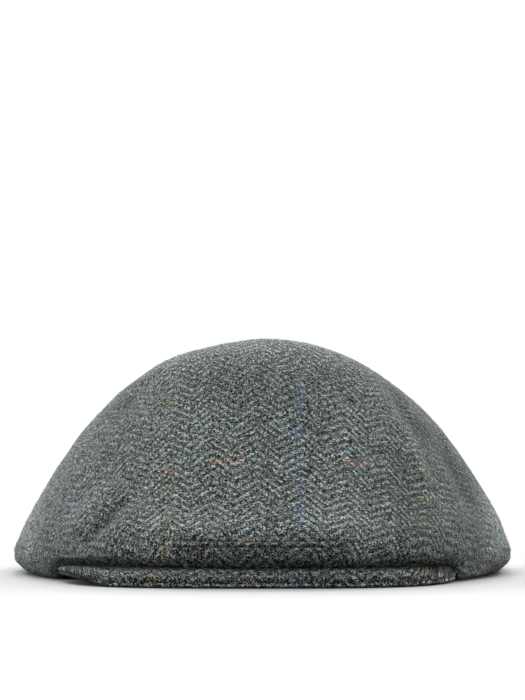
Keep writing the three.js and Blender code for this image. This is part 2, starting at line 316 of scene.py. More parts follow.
def crown_weave(point, heading, level):
    """Cloth coordinates of the top panel in millimetres. u is the arc from the centre line across, as
    sqrt(x^2 + 1.4 drop^2), and v is the centre line's length at y, less a lag that grows with u and with
    u squared, because the weft bends back on the flanks. Under the fold both run on along the meridian."""
    def on_dome(place):
        drop = np.interp(place[..., 1], CENTRE_LINE[:, 1], CENTRE_LINE[:, 2]) - place[..., 2]
        u = np.sign(place[..., 0]) * np.sqrt(place[..., 0] ** 2 + SECTION_BEND * np.maximum(drop, 0) ** 2)
        at_middle = place[..., 1] - WEFT_LAG * u ** 2 - WEFT_LEAN * u
        v = np.interp(at_middle, CENTRE_LINE[:, 1], CENTRE_RUN)
        early = np.minimum(at_middle - CENTRE_LINE[0, 1], 0)
        return np.stack([u, v + early], -1)
    folded = np.minimum(level, FOLD_LEVEL)
    uv = on_dome(plain_surface(heading, folded))
    run = arc_lengths(point)
    at_fold = np.take_along_axis(run, np.sum(level <= FOLD_LEVEL, 0)[None] - 1, 0)
    beyond = np.maximum(run - at_fold, 0) * (level > FOLD_LEVEL)
    rad = np.radians(heading)
    uv[..., 0] += beyond * np.sin(rad)
    uv[..., 1] -= beyond * np.cos(rad)
    return uv


def add_mesh(name, vertices, faces, uv=None, painted_shading=None):
    """A mesh object from an array of vertices in millimetres and arrays of faces, with a UV per vertex and
    the painted light and shade of the cloth, a factor by which it is paler or darker there."""
    mesh = bpy.data.meshes.new(name)
    polygons = [np.asarray(part, dtype=np.int32) for part in faces if len(part)]
    corner_count = sum(part.size for part in polygons)
    face_count = sum(len(part) for part in polygons)
    mesh.vertices.add(len(vertices))
    mesh.vertices.foreach_set("co", (np.asarray(vertices) * MM).astype(np.float32).ravel())
    mesh.loops.add(corner_count)
    corners = np.concatenate([part.ravel() for part in polygons])
    mesh.loops.foreach_set("vertex_index", corners)
    mesh.polygons.add(face_count)
    sizes = np.concatenate([np.full(len(part), part.shape[1], dtype=np.int32) for part in polygons])
    mesh.polygons.foreach_set("loop_start", np.concatenate([[0], np.cumsum(sizes)[:-1]]).astype(np.int32))
    mesh.update(calc_edges=True)
    if uv is not None:
        layer = mesh.uv_layers.new(name="weave")
        layer.data.foreach_set("uv", (np.asarray(uv)[corners] * MM).astype(np.float32).ravel())
    if painted_shading is not None:
        painted = mesh.attributes.new("painted_shading", "FLOAT", "POINT")
        painted.data.foreach_set("value", np.asarray(painted_shading).astype(np.float32).ravel())
    mesh.polygons.foreach_set("use_smooth", np.ones(face_count, dtype=bool))
    mesh.validate()
    piece = bpy.data.objects.new(name, mesh)
    bpy.context.scene.collection.objects.link(piece)
    return piece


def grid_faces(rows, columns, start=0, wrap=False, turned=False):
    """Four-cornered faces of a grid stored row by row from vertex start."""
    row = np.arange(rows - 1)[:, None]
    column = np.arange(columns if wrap else columns - 1)[None, :]
    after = (column + 1) % columns
    quads = np.stack([row * columns + column, (row + 1) * columns + column,
                      (row + 1) * columns + after, row * columns + after], -1).reshape(-1, 4) + start
    return quads[:, ::-1] if turned else quads


def join_rows(first, second):
    """Faces between two rows of vertex numbers of the same length."""
    return np.stack([first[:-1], second[:-1], second[1:], first[1:]], -1)


# The crown's mesh: columns that are closer together in front, and rows in three runs, down to the first and
# the second of the fine levels and on to the edge. The inner face has every eighth of these rows.
CROWN_COLUMNS = 384
FRONT_BIAS = 0.32
FINE_LEVELS = (7.1, 7.3)
ROWS_IN_RUNS = (108, 9, 90)
LAST_ROWS_POWER = 1.7
FIRST_INNER_ROW = 3
INNER_ROW_STEP = 8
APEX_LEVEL = 1e-4
APEX_Y = 6.0

# The edges at the seam of crown and side panel roll inwards over a part of a level, little at the peak's
# corners and more behind, and the two panels roll inwards at the centre back over some degrees.
CORNER_ROLL = 0.12
EDGE_ROLL = 0.9
ROLL_GROWS = (84, 106)
ROLL_LEVELS = 0.14
BACK_ROLL = 0.7
BACK_ROLL_DEGREES = 0.9

# The side panels' mesh, the degrees from each panel to the centre back, and the gap to the crown in levels: a
# gap that narrows backwards, times the share of it that is open, which grows further back.
PANEL_COLUMNS = 260
PANEL_ROWS = 64
BACK_SEAM_HALF_GAP = 0.02
PANEL_GAP = 0.3
PANEL_GAP_BEHIND = 0.07
GAP_NARROWS = (55, 75)
GAP_OPEN = 0.08
GAP_OPENS_BY = 0.32
GAP_OPENS = (80, 100)


def crown_headings():
    """Headings from -180 to 180 whose spacing is the mean times 1 - 0.32 cos, so the front is finer."""
    share = np.arange(CROWN_COLUMNS) / CROWN_COLUMNS * 2 - 1
    return 180 * share - FRONT_BIAS * 180 / math.pi * np.sin(math.pi * share)


def sewn_part(point):
    """1 in the middle of the front, where the crown is sewn to the peak, fading to 0 around it."""
    across = smooth((SEWN_HALF_WIDTH - np.abs(point[..., 0] - SEWN_MIDDLE_X)) / 4)
    return across * smooth((SEWN_END_Y - point[..., 1]) / 10)


def stitch_groove(point):
    """Two narrow grooves along the rows of stitches: the sum of two bell shapes over the height."""
    depth = sum(deep * np.exp(-((point[..., 2] - height) / wide) ** 2)
                for height, (deep, wide) in zip(STITCH_ROWS, STITCH_GROOVES))
    return depth * sewn_part(point)


def seam_roll(heading):
    """How far the two edges at the side panel's seam roll inwards: little at the corners, more behind."""
    return (CORNER_ROLL + (EDGE_ROLL - CORNER_ROLL) * fade_in(np.abs(heading), *ROLL_GROWS))[None, :]


def crown_levels(end):
    """The level of each row of the crown's mesh: even steps down to the sewn front, fine ones across it, and
    from there to the edge steps that widen, because their share of the way is raised to a power."""
    first, second = FINE_LEVELS
    to_first, to_second, to_edge = ROWS_IN_RUNS
    even = np.concatenate([np.linspace(0, first, to_first)[1:], np.linspace(first, second, to_second)[1:]])
    last = np.linspace(0, 1, to_edge)[1:] ** LAST_ROWS_POWER
    return np.concatenate([
        np.repeat(even[:, None], len(end), 1),
        second + (end - second)[None, :] * last[:, None],
    ])


def crown_painted_shading(heading, levels, plain):
    """The crown's painted light and shade: the product of a factor for each part of it, which is 1 where
    the part has faded out, and 1 less or more its share where it is full."""
    turned = np.abs(heading)[None, :]
    aside, height = np.abs(plain[..., 0]), plain[..., 2]
    groove_left = fade_in(turned, *ZONES["groove, left end"])
    groove_right = fade_in(turned, *ZONES["groove, right end"])
    groove = fade_in(levels, *ZONES["groove"]) * np.where(heading < 0, groove_left, groove_right)
    flank = fade_in(aside, *ZONES["flank"]) * fade_in(aside, *ZONES["flank, outer end"])
    flank_shade = np.where(plain[..., 0] < 0, FLANK_SHADE_LEFT, FLANK_SHADE_RIGHT)
    corner = fade_in(heading, *ZONES["right corner, from the front"])
    corner *= fade_in(heading, *ZONES["right corner, from behind"])
    tucked = corner[None, :] * fade_in(levels, *ZONES["right corner, downwards"])
    turning = fade_in(levels, *ZONES["turn"]) * fade_in(turned, *ZONES["turn, both ends"])
    below_fold = fade_in(levels, *ZONES["below the fold"]) * turning
    below_stitches = fade_in(STITCH_ROWS[0] - height, *ZONES["below_stitches"]) * sewn_part(plain)
    dents = dent_depth(plain[..., 0], plain[..., 1]) * smooth((FOLD_LEVEL - levels) / 2)
    # Painted shade in the groove, on the flanks and the top, along and below the stitches, on the turn of the
    # fold and in the dents; painted light on the ends, on the flap at the right corner and below the fold.
    return math.prod((
        1 - GROOVE_PAINTED_SHADE * groove,
        1 - flank_shade * flank,
        1 + END_LIGHT * fade_in(aside, *ZONES["end of the cap"]),
        1 + TUCK_LIGHT * tucked,
        1 - TOP_SHADE * fade_in(height, *ZONES["top"]),
        1 - STITCH_SHADE * np.minimum(stitch_groove(plain), 1),
        1 - TURN_SHADE * turning + UNDER_FOLD_GLOW * below_fold,
        1 - BELOW_STITCHES_SHADE * below_stitches,
        1 - DENT_SHADE * dents,
    ))


def crown_cloth():
    """The top panel: an outer grid of rows by columns, an inner one of fewer rows a cloth's thickness further
    in, a band between their lower edges, and a fan round the apex on each."""
    heading = crown_headings()
    end = top_panel_end(heading)
    levels = crown_levels(end)
    plain = plain_surface(heading, levels)
    rolled = seam_roll(heading) * smooth(1 - (end[None, :] - levels) / ROLL_LEVELS)
    outer = cloth_surface(heading, levels, sunk=stitch_groove(plain) + rolled)
    weave = crown_weave(plain, heading, levels)
    kept = np.unique(np.append(np.arange(FIRST_INNER_ROW, len(levels), INNER_ROW_STEP), len(levels) - 1))
    inner = cloth_surface(heading, levels[kept], depth=CLOTH)
    apex = np.array([0.0]), np.array([[APEX_LEVEL]])
    top, top_inner = cloth_surface(*apex)[0], cloth_surface(*apex, depth=CLOTH)[0]
    columns = len(heading)
    rows, inner_rows = len(levels), len(kept)
    first_inner = rows * columns
    pole = first_inner + inner_rows * columns
    vertices = np.concatenate([outer.reshape(-1, 3), inner.reshape(-1, 3), top, top_inner])
    ring = np.arange(columns + 1) % columns
    cap = np.stack([np.full(columns, pole), ring[:-1], ring[1:]], -1)
    cap_inner = np.stack([np.full(columns, pole + 1), first_inner + ring[1:], first_inner + ring[:-1]], -1)
    edge = join_rows((rows - 1) * columns + ring, first_inner + (inner_rows - 1) * columns + ring)
    faces = [grid_faces(rows, columns, 0, wrap=True),
             grid_faces(inner_rows, columns, first_inner, wrap=True, turned=True), edge, cap, cap_inner]
    top_uv = np.array([[0.0, np.interp(APEX_Y, CENTRE_LINE[:, 1], CENTRE_RUN)]])
    uv = np.concatenate([weave.reshape(-1, 2), weave[kept].reshape(-1, 2), top_uv, top_uv])
    painted_shading = crown_painted_shading(heading, levels, plain)
    painted_shading = np.concatenate([painted_shading.ravel(), np.ones(vertices.shape[0] - painted_shading.size)])
    return add_mesh("crown_cloth", vertices, faces, uv, painted_shading)


def side_cloth(name, side):
    """A side panel: rows in even steps from the seam down to the rim, rolled inwards at the seam and at the
    centre back, with an inner face a cloth's thickness further in. side is -1 for left and 1 for right."""
    columns, rows = PANEL_COLUMNS, PANEL_ROWS
    heading = np.linspace(PANEL_START_HEADING, 180 - BACK_SEAM_HALF_GAP, columns) * side
    if side < 0:
        heading = heading[::-1]
    turned = np.abs(heading)
    gap = PANEL_GAP + (PANEL_GAP_BEHIND - PANEL_GAP) * fade_in(turned, *GAP_NARROWS)
    top = top_panel_end(heading) + gap * (GAP_OPEN + GAP_OPENS_BY * fade_in(turned, *GAP_OPENS))
    share = np.linspace(0, 1, rows)[:, None]
    levels = top[None, :] + (RIM_LEVEL - top)[None, :] * share
    rolled = seam_roll(heading) * smooth(1 - (levels - top[None, :]) / ROLL_LEVELS)
    back_roll = BACK_ROLL * smooth(1 - (180 - turned) / BACK_ROLL_DEGREES)[None, :]
    plain = plain_surface(heading, levels)
    outer = cloth_surface(heading, levels, sunk=rolled + back_roll)
    outer[..., 2] = np.maximum(outer[..., 2], 0)
    inner = cloth_surface(heading, levels, depth=CLOTH)
    vertices = np.concatenate([outer.reshape(-1, 3), inner.reshape(-1, 3)])
    offset = rows * columns
    number = np.arange(offset).reshape(rows, columns)
    faces = [grid_faces(rows, columns), grid_faces(rows, columns, offset, turned=True),
             join_rows(number[-1], number[-1] + offset), join_rows(number[0] + offset, number[0]),
             join_rows(number[:, 0], number[:, 0] + offset), join_rows(number[:, -1] + offset, number[:, -1])]
    along = arc_lengths(np.swapaxes(plain, 0, 1)[:, rows // 2:rows // 2 + 1])[:, 0]
    weave = np.stack([arc_lengths(plain), np.repeat(along[None, :], rows, 0) * side], -1)
    uv = np.concatenate([weave.reshape(-1, 2), weave.reshape(-1, 2) + [CLOTH, 0]])
    # Painted shade on the left panel near the peak's corner.
    painted_shading = np.ones((rows, columns))
    if side < 0:
        corner = fade_in(turned, *ZONES["left corner"])[None, :]
        painted_shading = 1 - CORNER_SHADE * corner * fade_in(share, *ZONES["left corner, downwards"])
    return add_mesh(name, vertices, faces, uv, np.concatenate([painted_shading.ravel(), np.ones(painted_shading.size)]))


def lip_points(heading):
    """Where the lip's superellipse crosses the line at each heading from the crown's middle, by halving."""
    middle = LOOPS[RIM_LEVEL][LOOP_COLUMNS.index("middle")]
    toward = np.stack([np.sin(np.radians(heading)), -np.cos(np.radians(heading))], -1)
    near = np.full(len(heading), PEAK_HALF_WIDTH / 2.0)
    far = np.full(len(heading), PEAK_HALF_WIDTH * 2.0)
    for _ in range(HALVINGS):
        reach = (near + far) / 2
        x = np.abs(toward[:, 0] * reach - PEAK_MIDDLE_X) / PEAK_HALF_WIDTH
        y = np.abs(middle + toward[:, 1] * reach - PEAK_MIDDLE_Y) / PEAK_REACH
        inside = x ** PEAK_SQUARE + y ** PEAK_SQUARE < 1
        near = np.where(inside, reach, near)
        far = np.where(inside, far, reach)
    return np.stack([toward[:, 0] * near, middle + toward[:, 1] * near], -1)


def peak_profile(heading, lip):
    """The peak's section at each heading, row by row: inwards under the crown's flap, back out underneath,
    round the two rolls of the lip and up the upper face to the groove, as a power of the share of the way.
    Also the groove's height and the lip seam's."""
    share = heading / PEAK_LEFT_HEADING
    thick = PEAK_THICK + (PEAK_THICK_AT_TIP - PEAK_THICK) * share ** 4
    outwards = (np.abs(lip[:, 0]) - LIP_RISES_FROM_X) / (PEAK_HALF_WIDTH - LIP_RISES_FROM_X)
    rise = np.where(lip[:, 0] < 0, LIP_RISE_LEFT, LIP_RISE_RIGHT) * smooth(outwards)
    under_flap = np.linspace(GROOVE_LEVEL, RIM_LEVEL, FLAP_ROWS)
    above = plain_surface(heading, np.repeat(under_flap[:, None], len(heading), 1))
    above[..., 2] -= GAP
    below = above[::-1].copy()
    below[..., 2] = np.maximum(below[..., 2] - thick, rise)
    groove = above[0]
    inward = groove[:, :2] - lip
    depth = np.linalg.norm(inward, axis=1)
    inward /= depth[:, None]
    seam_z = rise + thick * LIP_SEAM_SHARE
    section = []

    def put(distance, height):
        place = lip + inward * np.broadcast_to(distance, len(heading))[:, None]
        section.append(np.concatenate([place, height[:, None]], 1))

    def put_roll(foot, head, first_angle, last_angle, rows, filled):
        tall = (head - foot) / 2
        for angle in np.linspace(first_angle, last_angle, rows):
            a = math.radians(angle)
            put(LIP_LOBE * (1 - math.cos(a) * filled), foot + tall + tall * math.sin(a))

    for step in np.linspace(1, 0, UNDER_ROWS)[1:-1]:
        put(LIP_LOBE + (depth - LIP_LOBE) * step, rise + (below[-1, :, 2] - rise) * step)
    put_roll(rise, seam_z, *LOWER_ROLL)
    put(LIP_SEAM_IN, seam_z)
    put_roll(seam_z, rise + thick, *UPPER_ROLL)
    for step in np.linspace(0, 1, UPPER_ROWS)[1:-1]:
        climbed = 1 - (1 - step) ** UPPER_FACE_POWER
        put(LIP_LOBE + (depth - LIP_LOBE) * step, rise + thick + (groove[:, 2] - rise - thick) * climbed)
    return np.concatenate([above, below, np.stack(section)]), groove[:, 2], seam_z


def peak_painted_shading(profile, lip, groove_z, seam_z):
    """Painted shade up to the groove and in the left hollow, and painted light on the lip's lower roll."""
    above_groove = profile[..., 2] - groove_z[None, :]
    above_seam = profile[..., 2] - seam_z
    inside = np.linalg.norm(profile[..., :2] - lip[None], axis=-1)
    painted = fade_in(above_seam, *ZONES["lower roll, downwards"])
    painted *= fade_in(inside, *ZONES["lower roll, outwards"])
    painted_shading = 1 - GROOVE_PAINTED_SHADE * fade_in(above_groove, *ZONES["peak's groove"]) + LIP_PAINTED_LIGHT * painted
    hollow = fade_in(-lip[:, 0], *ZONES["hollow, outwards"])[None, :]
    return painted_shading * (1 - HOLLOW_SHADE * hollow * fade_in(above_seam, *ZONES["hollow, downwards"]))


def peak_cloth():
    """The stiff peak: its section carried round the headings as a closed tube, with a fan at each end."""
    heading = np.linspace(PEAK_LEFT_HEADING, PEAK_RIGHT_HEADING, PEAK_COLUMNS)
    lip = lip_points(heading)
    profile, groove_z, seam_z = peak_profile(heading, lip)
    count, columns = profile.shape[:2]
    number = np.arange(count * columns).reshape(count, columns)
    closed = np.concatenate([number, number[:1]])
    quads = np.stack([closed[:-1, :-1], closed[:-1, 1:], closed[1:, 1:], closed[1:, :-1]], -1)
    left = np.stack([np.full(count, count * columns), closed[:-1, 0], closed[1:, 0]], -1)
    right = np.stack([np.full(count, count * columns + 1), closed[1:, -1], closed[:-1, -1]], -1)
    middle = [profile[:, 0].mean(0), profile[:, -1].mean(0)]
    vertices = np.concatenate([profile.reshape(-1, 3), middle])
    weave = np.stack([profile[..., 0], arc_lengths(profile)], -1)
    uv = np.concatenate([weave.reshape(-1, 2), weave[0, :1], weave[0, -1:]])
    painted_shading = np.concatenate([peak_painted_shading(profile, lip, groove_z, seam_z).ravel(), [1, 1]])
    return add_mesh("peak_cloth", vertices, [quads.reshape(-1, 4), left, right], uv, painted_shading)


class NodeSheet:
    """A material's node tree with short calls for the arithmetic that a weave needs."""

    def __init__(self, name):
        self.material = bpy.data.materials.new(name)
        self.material.use_nodes = True
        self.tree = self.material.node_tree
        self.shader = self.tree.nodes["Principled BSDF"]

    def add(self, kind, **settings):
        node = self.tree.nodes.new(kind)
        for key, value in settings.items():
            setattr(node, key, value)
        return node

    def put(self, value, socket):
        if isinstance(value, bpy.types.NodeSocket):
            self.tree.links.new(value, socket)
        else:
            socket.default_value = value

    def maths(self, operation, *values):
        node = self.add("ShaderNodeMath", operation=operation)
        for value, socket in zip(values, node.inputs):
            self.put(value, socket)
        return node.outputs[0]

    def plus(self, first, second):
        return self.maths("ADD", first, second)

    def minus(self, first, second):
        return self.maths("SUBTRACT", first, second)

    def times(self, first, second):
        return self.maths("MULTIPLY", first, second)

    def swing(self, value, strength):
        """A value from 0 to 1 less a half, times its strength."""
        return self.times(self.minus(value, 0.5), strength)

    def ramp_to(self, value, low, high, to_low=0.0, to_high=1.0):
        node = self.add("ShaderNodeMapRange", interpolation_type="SMOOTHSTEP")
        for given, socket in zip((value, low, high, to_low, to_high), node.inputs):
            self.put(given, socket)
        return node.outputs[0]

    def vector(self, x, y, z=0.0):
        node = self.add("ShaderNodeCombineXYZ")
        for value, socket in zip((x, y, z), node.inputs):
            self.put(value, socket)
        return node.outputs[0]

    def noise(self, place, scale, detail=2.0, roughness=0.5):
        node = self.add("ShaderNodeTexNoise", noise_dimensions="2D")
        self.put(place, node.inputs["Vector"])
        node.inputs["Scale"].default_value = scale
        node.inputs["Detail"].default_value = detail
        node.inputs["Roughness"].default_value = roughness
        return node.outputs["Fac"]

    def blend(self, share, first, second, blend_type="MIX"):
        node = self.add("ShaderNodeMix", data_type="RGBA", blend_type=blend_type)
        self.put(share, node.inputs[0])
        self.put(first, node.inputs[6])
        self.put(second, node.inputs[7])
        return node.outputs[2]

    def cells(self, place, scale):
        """Voronoi cells: their three random values, and the distance from their middles."""
        node = self.add("ShaderNodeTexVoronoi", voronoi_dimensions="2D", feature="F1")
        self.put(place, node.inputs["Vector"])
        node.inputs["Scale"].default_value = scale
        chances = self.add("ShaderNodeSeparateColor")
        self.put(node.outputs["Color"], chances.inputs[0])
        return chances.outputs, node.outputs["Distance"]

    def colours(self, value, stops):
        node = self.add("ShaderNodeValToRGB")
        self.put(value, node.inputs[0])
        ramp = node.color_ramp
        while len(ramp.elements) < len(stops):
            ramp.elements.new(0.5)
        for element, (place, colour) in zip(ramp.elements, stops):
            element.position = place
            element.color = (*colour, 1.0)
        return node.outputs[0]


# Yarn colours, linear. Then the overcheck: the ends and the picks from one line to the next, the number of
# the blue end, and the Y at which the red pick crosses the centre line.
LIGHT_YARN = (0.123, 0.143, 0.138)
DARK_YARN = (0.039, 0.046, 0.046)
NAP_COLOUR = (0.080, 0.093, 0.090)
YELLOW_YARN = (0.150, 0.115, 0.030)
BLUE_YARN = (0.045, 0.085, 0.210)
RED_YARN = (0.190, 0.050, 0.035)
TEAL_YARN = (0.040, 0.120, 0.135)
BROWN_YARN = (0.120, 0.062, 0.030)
ENDS_BETWEEN_CHECKS = 48
BLUE_END = 15
PICKS_BETWEEN_CHECKS = 45
RED_PICK_Y = -81.0

# Hues that the pale and the dark yarns run through, and the flecks' hues, each with its place on the scale.
PALE_STOPS = (
    (0.32, (0.101, 0.123, 0.128)),
    (0.46, LIGHT_YARN),
    (0.56, (0.125, 0.131, 0.121)),
    (0.68, (0.103, 0.127, 0.117)),
)
DARK_STOPS = (
    (0.30, (0.040, 0.054, 0.062)),
    (0.46, DARK_YARN),
    (0.60, (0.054, 0.054, 0.047)),
    (0.72, (0.040, 0.058, 0.052)),
)
FLECK_STOPS = (
    (0.10, BLUE_YARN),
    (0.32, TEAL_YARN),
    (0.52, YELLOW_YARN),
    (0.70, BROWN_YARN),
    (0.90, RED_YARN),
)

# Overchecks: how strong the yellow and the blue ends are, then each pick's colour, its place in spacings from
# the red one and its strength. Then how strong the flecks are.
YELLOW_STRENGTH = 0.26
BLUE_STRENGTH = 0.34
PICK_CHECKS = ((RED_YARN, 0, 0.30), (BLUE_YARN, 1, 0.16), (BROWN_YARN, -1, 0.26))
FLECK_STRENGTH = 0.18

# Noises over the cloth: scale per metre, or per yarn for the picks' hue, then detail and roughness.
NOISES = {
    "wander": (170.0, 1.0, 0.5),
    "ends jitter": (620.0, 1.0, 0.5),
    "picks jitter": (560.0, 1.0, 0.5),
    "felting": (42.0, 3.0, 0.5),
    "fuzz": (1300.0, 1.0, 0.5),
    "patches": (70.0, 2.0, 0.5),
    "ends hue": (120.0, 2.0, 0.7),
    "picks hue": (0.8, 2.0, 0.7),
    "broken": (190.0, 2.0, 0.5),
    "rare": (55.0, 2.0, 0.5),
    "coarse": (85.0, 1.0, 0.5),
}

# The yarns' wave and roundness, and the grain of the wool: cells per metre, how much narrower the specks are
# along U, how strongly tufts, specks, patches and yarns swing the brightness, its base and its bounds.
YARN_WAVE = 0.62
YARN_ROUND = 0.42
TUFT_SCALE = 1800.0
SPECK_SCALE = 2700.0
SPECK_NARROWER = 1.35
TUFT_SWING = 10.5
SPECK_SWING = 12.5
PATCH_SWING = 1.6
YARN_SWING = 0.22
YARN_MIDDLE = 0.45
BASE_SHADE = 0.35
SHADE_BOUNDS = (0.05, 7.0)


def yarn_numbers(sheet, uv, u, v, shift):
    """The number of the end and of the pick at each place: U and V over the pitches, plus two noises by which
    the yarns wander."""
    wander = sheet.noise(uv, *NOISES["wander"])
    end_jitter = sheet.noise(uv, *NOISES["ends jitter"])
    pick_jitter = sheet.noise(sheet.vector(v, u), *NOISES["picks jitter"])
    ends = sheet.maths("MULTIPLY_ADD", u, 1 / MM / END_PITCH, shift - POINT_U / END_PITCH)
    picks = sheet.times(v, 1 / MM / PICK_PITCH)
    end_drift = sheet.plus(sheet.swing(wander, 0.9), sheet.swing(end_jitter, 0.6))
    pick_drift = sheet.plus(sheet.swing(wander, -0.9), sheet.swing(pick_jitter, 0.7))
    return sheet.plus(ends, end_drift), sheet.plus(picks, pick_drift)


def twill_step(sheet, end):
    """How far the twill has stepped at an end: its number's ping-pong over a stripe, plus a slow lean."""
    return sheet.plus(sheet.maths("PINGPONG", end, float(ENDS_PER_STRIPE)), sheet.times(end, TWILL_LEAN))


def yarn_height(sheet, step, count, side, sign):
    """A yarn's height: a sine with a period of four crossings, plus a cosine across the yarn."""
    phase = sheet.times(sheet.plus(step, count), math.pi / 2)
    wave = sheet.times(sheet.maths("SINE", phase), YARN_WAVE * sign)
    round_yarn = sheet.times(sheet.maths("COSINE", sheet.times(side, math.pi)), YARN_ROUND)
    return sheet.plus(wave, round_yarn)


def check_line(sheet, number, place, spacing, half_width):
    """1 along the yarn of this number and every second spacing from it, by the ping-pong of the distance."""
    away = sheet.maths("PINGPONG", sheet.minus(number, place + 0.5), spacing)
    return sheet.ramp_to(away, half_width + 0.6, half_width - 0.4)


def overchecks(sheet, uv, v, ends, picks):
    """The overcheck yarns: colour, where each shows and how strongly. Noises break the lines, and the blue
    end fades out over the top of the crown."""
    broken = sheet.ramp_to(sheet.noise(uv, *NOISES["broken"]), 0.45, 0.60)
    rare = sheet.ramp_to(sheet.noise(uv, *NOISES["rare"]), 0.50, 0.62)
    coarse = sheet.ramp_to(sheet.noise(uv, *NOISES["coarse"]), 0.42, 0.60)
    off_top = sheet.maths("MAXIMUM", sheet.ramp_to(v, 0.122, 0.110), sheet.ramp_to(v, 0.165, 0.185))
    spacing = float(ENDS_BETWEEN_CHECKS)
    yellow = sheet.times(check_line(sheet, ends, BLUE_END + ENDS_BETWEEN_CHECKS, spacing, 2.1), coarse)
    blue = sheet.times(check_line(sheet, ends, BLUE_END, spacing, 0.9), sheet.times(broken, off_top))
    lines = [(YELLOW_YARN, yellow, YELLOW_STRENGTH), (BLUE_YARN, blue, BLUE_STRENGTH)]
    red_pick = round(float(np.interp(RED_PICK_Y, CENTRE_LINE[:, 1], CENTRE_RUN)) / PICK_PITCH)
    for colour, spacings, strength in PICK_CHECKS:
        place = red_pick + spacings * PICKS_BETWEEN_CHECKS
        line = check_line(sheet, picks, place, PICKS_BETWEEN_CHECKS * 1.5, 0.9)
        lines.append((colour, sheet.times(line, rare), strength))
    return lines


def flecks(sheet, zigzag, picks):
    """Flecks of dyed wool: the middles of three in ten cells, longer along the twill than across it."""
    across = sheet.times(sheet.plus(zigzag, picks), 0.20)
    along = sheet.times(sheet.minus(zigzag, picks), 0.13)
    chances, distance = sheet.cells(sheet.vector(across, along), 1.0)
    near = sheet.ramp_to(distance, 0.30, 0.08)
    seen = sheet.times(near, sheet.maths("GREATER_THAN", chances[0], 0.70))
    return sheet.colours(chances[1], FLECK_STOPS), seen


def wool_shade(sheet, uv, u, v, tufts, height):
    """The wool's brightness: a base plus the swings of tufts, patches, specks and yarns, held in bounds."""
    speck_place = sheet.vector(sheet.times(u, SPECK_NARROWER), v)
    specks = sheet.cells(speck_place, SPECK_SCALE)[0][1]
    patches = sheet.noise(uv, *NOISES["patches"])
    uneven = sheet.plus(sheet.swing(tufts, TUFT_SWING), sheet.swing(patches, PATCH_SWING))
    uneven = sheet.plus(uneven, sheet.swing(specks, SPECK_SWING))
    uneven = sheet.plus(uneven, sheet.times(sheet.minus(height, YARN_MIDDLE), YARN_SWING))
    at_least = sheet.maths("MAXIMUM", sheet.plus(uneven, BASE_SHADE), SHADE_BOUNDS[0])
    return sheet.maths("MINIMUM", at_least, SHADE_BOUNDS[1])


def tweed(name, tone, shift=0.0):
    """Reversing 2/2 twill from yarn numbers. U counts ends and V picks; the step of the twill is the
    ping-pong of the end's number over eight ends, and a yarn lies on top for two of every four crossings.
    Wool blurs it: fuzz upsets the order of the yarns, more in felted places, a nap hides the hues towards
    the back and the left, and tufts and specks make the grain."""
    sheet = NodeSheet(name)
    uv = sheet.add("ShaderNodeUVMap", uv_map="weave").outputs[0]
    split = sheet.add("ShaderNodeSeparateXYZ")
    sheet.put(uv, split.inputs[0])
    u, v = split.outputs[0], split.outputs[1]
    ends, picks = yarn_numbers(sheet, uv, u, v, shift)
    end_middle = sheet.plus(sheet.maths("FLOOR", ends), 0.5)
    pick_middle = sheet.plus(sheet.maths("FLOOR", picks), 0.5)
    zigzag = twill_step(sheet, ends)
    warp = yarn_height(sheet, twill_step(sheet, end_middle), picks, sheet.minus(ends, end_middle), 1.0)
    weft = yarn_height(sheet, zigzag, pick_middle, sheet.minus(picks, pick_middle), -1.0)
    height = sheet.maths("MAXIMUM", warp, weft)
    felting = sheet.ramp_to(sheet.noise(uv, *NOISES["felting"]), 0.36, 0.64, 0.25, 1.9)
    fuzz = sheet.swing(sheet.noise(uv, *NOISES["fuzz"]), 1.8)
    order = sheet.plus(sheet.minus(warp, weft), sheet.times(fuzz, felting))
    warp_up = sheet.ramp_to(order, -0.45, 0.45)

    pale = sheet.colours(sheet.noise(uv, *NOISES["ends hue"]), PALE_STOPS)
    pick_place = sheet.vector(sheet.times(ends, 0.21), sheet.times(pick_middle, 0.9))
    dark = sheet.colours(sheet.noise(pick_place, *NOISES["picks hue"]), DARK_STOPS)
    nap = sheet.plus(sheet.ramp_to(v, 0.060, 0.130, 0.0, 0.30), sheet.ramp_to(u, -0.020, -0.070, 0.0, 0.25))
    cloth = sheet.blend(nap, sheet.blend(warp_up, dark, pale), (*NAP_COLOUR, 1.0))
    for colour, line, strength in overchecks(sheet, uv, v, ends, picks):
        cloth = sheet.blend(sheet.times(line, strength), cloth, (*colour, 1.0))
    fleck_colour, seen = flecks(sheet, zigzag, picks)
    cloth = sheet.blend(sheet.times(seen, FLECK_STRENGTH), cloth, fleck_colour)

    tufts = sheet.cells(uv, TUFT_SCALE)[0][0]
    # The mesh's painted light and shade multiply the cloth's brightness.
    painted = sheet.add("ShaderNodeAttribute", attribute_name="painted_shading").outputs["Fac"]
    shade = sheet.times(sheet.times(wool_shade(sheet, uv, u, v, tufts, height), tone), painted)
    grey = sheet.add("ShaderNodeCombineColor")
    for socket in grey.inputs[:3]:
        sheet.put(shade, socket)
    cloth = sheet.blend(1.0, cloth, grey.outputs[0], "MULTIPLY")
    sheet.put(cloth, sheet.shader.inputs["Base Color"])

    bump = sheet.add("ShaderNodeBump")
    bump.inputs["Strength"].default_value = 0.5
    bump.inputs["Distance"].default_value = 0.45 * MM
    sheet.put(sheet.plus(height, sheet.swing(tufts, 0.9)), bump.inputs["Height"])
    sheet.put(bump.outputs[0], sheet.shader.inputs["Normal"])
    sheet.shader.inputs["Roughness"].default_value = 0.92
    sheet.shader.inputs["Specular IOR Level"].default_value = 0.06
    sheet.shader.inputs["Sheen Weight"].default_value = 0.03
    sheet.shader.inputs["Sheen Roughness"].default_value = 0.45
    sheet.shader.inputs["Sheen Tint"].default_value = (0.80, 0.86, 0.85, 1.0)
    return sheet.material


